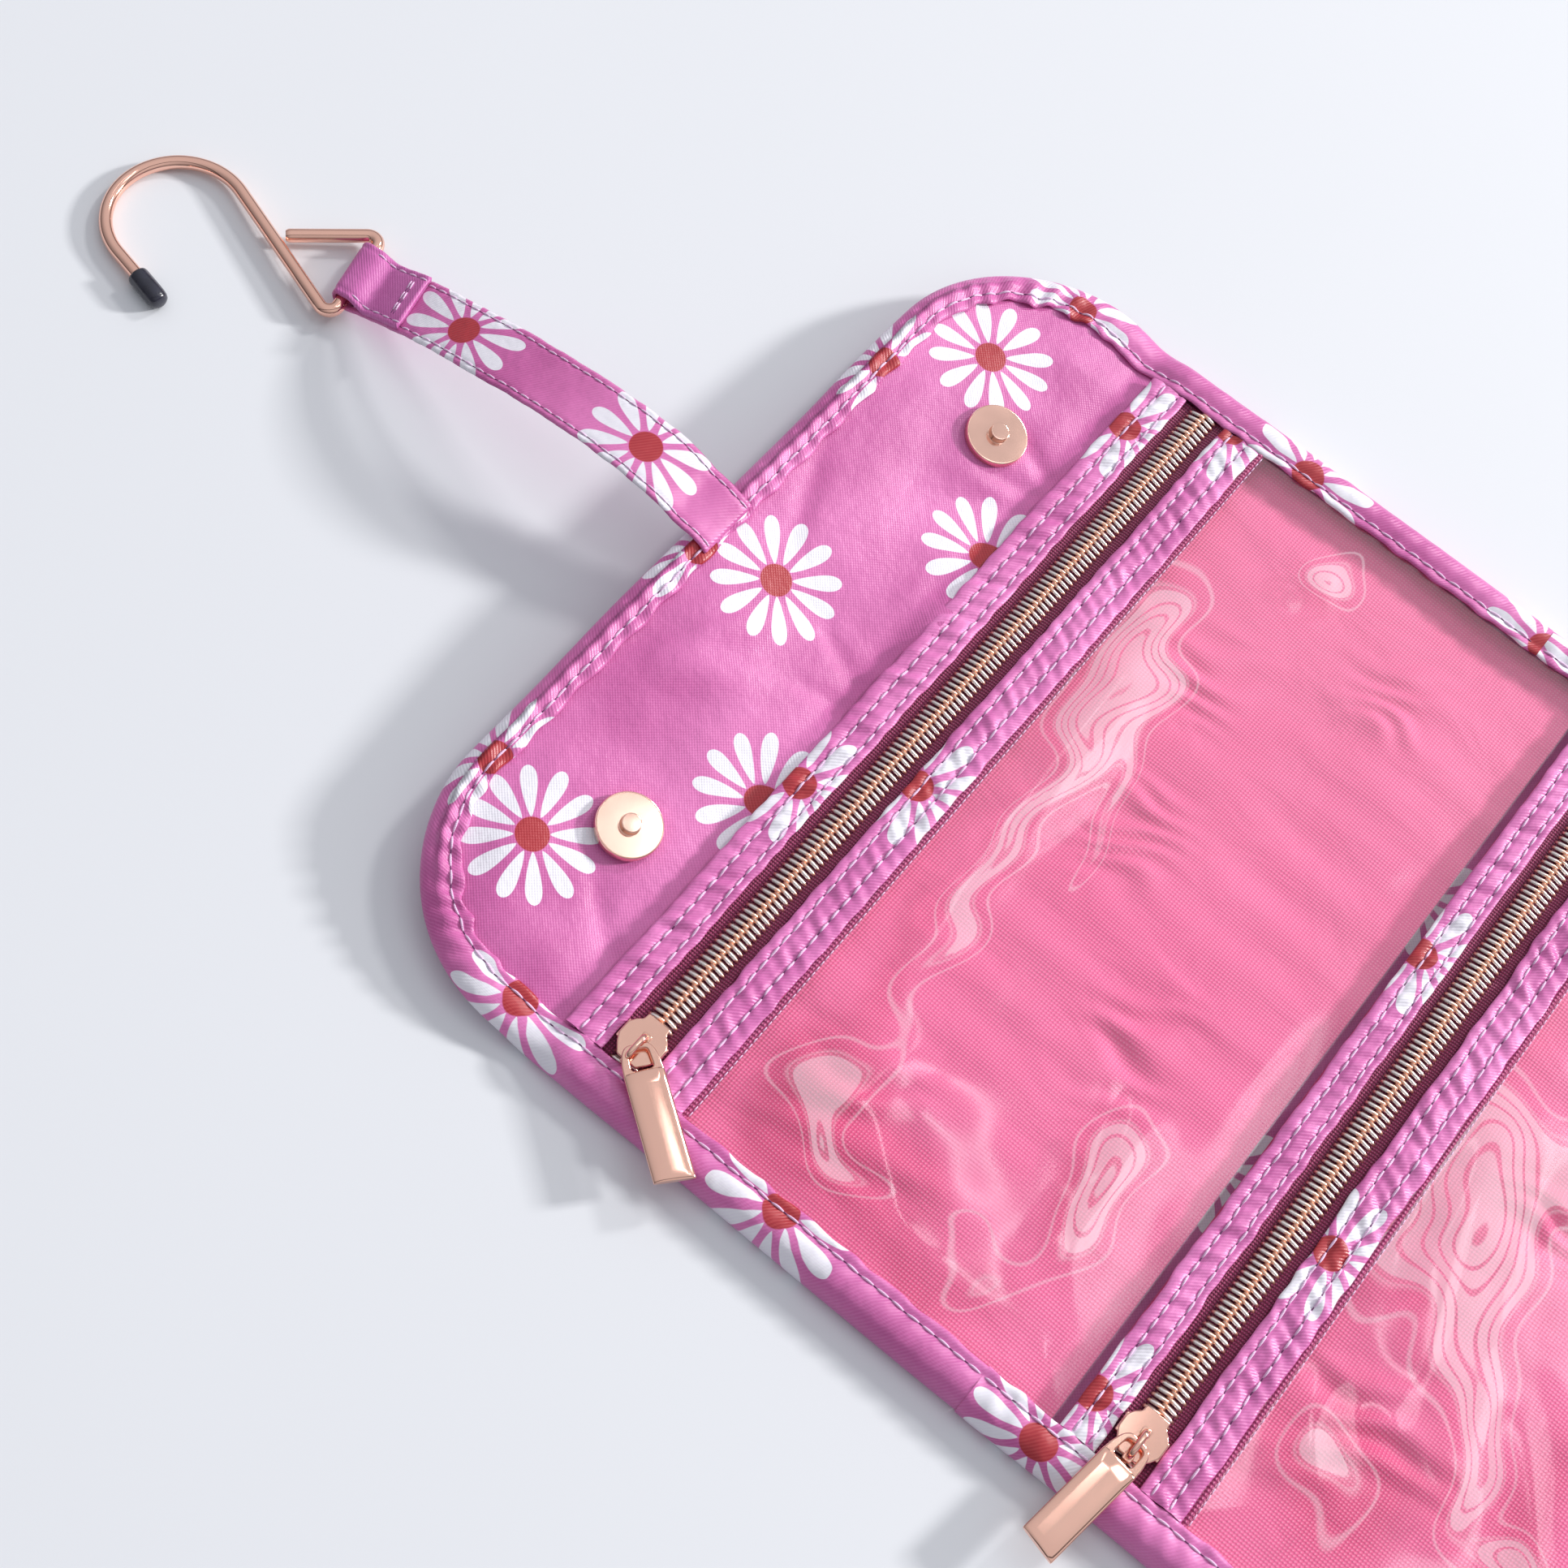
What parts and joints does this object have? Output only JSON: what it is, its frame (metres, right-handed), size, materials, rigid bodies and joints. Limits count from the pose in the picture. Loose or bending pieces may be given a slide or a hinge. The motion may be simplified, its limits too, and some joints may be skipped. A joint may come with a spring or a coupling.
{
  "type": "hanging toiletry bag",
  "caption": "Fold-up hanging toiletry bag opened flat: snap flap with webbing strap and wire hook, clear-windowed zip pockets with bar pulls.",
  "frame": {"origin": "On the back face of the upper pocket, under the middle of the upper zip; the bag lies opened flat on this face.", "axes": "+X across the bag along the zips, away from the parked sliders; +Y up the bag, towards the hook; +Z out of the back, towards the windows."},
  "size_m": [0.2299, 0.4318, 0.022],
  "materials": {
    "printed_fabric": "satin woven polyester, orchid pink with a plain repeat of white daisies, each with a round red centre",
    "lining": "pink oxford weave",
    "zip_tape": "burgundy woven tape",
    "clear_vinyl": "clear glossy soft vinyl sheet",
    "coil_teeth": "metallised rose-gold coil",
    "rose_gold": "polished rose-gold plating",
    "tip_rubber": "satin dark rubber"
  },
  "bodies": {
    "panel_1": {"panel_1_back": "printed_fabric", "panel_1_lining": "lining", "panel_1_window": "clear_vinyl", "panel_1_left_binding": "printed_fabric", "panel_1_right_binding": "printed_fabric", "zip_1_upper_strip": "printed_fabric", "zip_1_upper_tape": "zip_tape", "zip_1_upper_teeth": "coil_teeth", "zip_1_lower_strip": "printed_fabric", "zip_1_lower_tape": "zip_tape", "zip_1_lower_teeth": "coil_teeth"},
    "panel_2": {"panel_2_back": "printed_fabric", "panel_2_lining": "lining", "panel_2_window": "clear_vinyl", "panel_2_binding": "printed_fabric", "snap_left_female": "rose_gold", "snap_right_female": "rose_gold", "zip_2_upper_strip": "printed_fabric", "zip_2_upper_tape": "zip_tape", "zip_2_upper_teeth": "coil_teeth", "zip_2_lower_strip": "printed_fabric", "zip_2_lower_tape": "zip_tape", "zip_2_lower_teeth": "coil_teeth"},
    "flap": {"flap_back": "printed_fabric", "flap_interlining": "lining", "flap_front": "printed_fabric", "flap_binding": "printed_fabric", "snap_left_male": "rose_gold", "snap_right_male": "rose_gold", "snap_left_washer": "rose_gold", "snap_right_washer": "rose_gold", "strap_root": "printed_fabric"},
    "strap": {"strap": "printed_fabric"},
    "hook": {"hook_wire": "rose_gold", "hook_tip_cap": "tip_rubber"},
    "slider_1": {"zip_1_slider": "rose_gold", "zip_1_slider_lower_plate": "rose_gold"},
    "pull_1": {"zip_1_pull": "rose_gold"},
    "slider_2": {"zip_2_slider": "rose_gold", "zip_2_slider_lower_plate": "rose_gold"},
    "pull_2": {"zip_2_pull": "rose_gold"}
  },
  "joints": [
    {"name": "flap_fold", "type": "hinge", "parent": "panel_1", "child": "flap", "pos_m": [0, 0.012, 0.0105], "axis": [1, 0, 0], "range_deg": [0, 168]},
    {"name": "panel_fold", "type": "hinge", "parent": "panel_1", "child": "panel_2", "pos_m": [0, -0.1036, 0.0079], "axis": [-1, 0, 0], "range_deg": [0, 179.95]},
    {"name": "strap_swing", "type": "hinge", "parent": "flap", "child": "strap", "pos_m": [0, 0.0634, 0.015], "axis": [-1, 0, 0], "range_deg": [-120, 60]},
    {"name": "hook_swivel", "type": "hinge", "parent": "strap", "child": "hook", "pos_m": [0, 0.1575, 0.0033], "axis": [0.9694, 0.2453, 0], "range_deg": [-130, 115]},
    {"name": "zip_1_slide", "type": "slide", "parent": "panel_1", "child": "slider_1", "axis": [1, 0, 0], "range_m": [0, 0.187]},
    {"name": "zip_1_pull_flip", "type": "hinge", "parent": "slider_1", "child": "pull_1", "pos_m": [-0.0957, 0, 0.008], "axis": [-0.8211, 0.5707, 0], "range_deg": [0, 180]},
    {"name": "zip_2_slide", "type": "slide", "parent": "panel_2", "child": "slider_2", "axis": [1, 0, 0], "range_m": [0, 0.185]},
    {"name": "zip_2_pull_flip", "type": "hinge", "parent": "slider_2", "child": "pull_2", "pos_m": [-0.0937, -0.1174, 0.008], "axis": [0.1444, 0.9895, 0], "range_deg": [0, 180]}
  ]
}
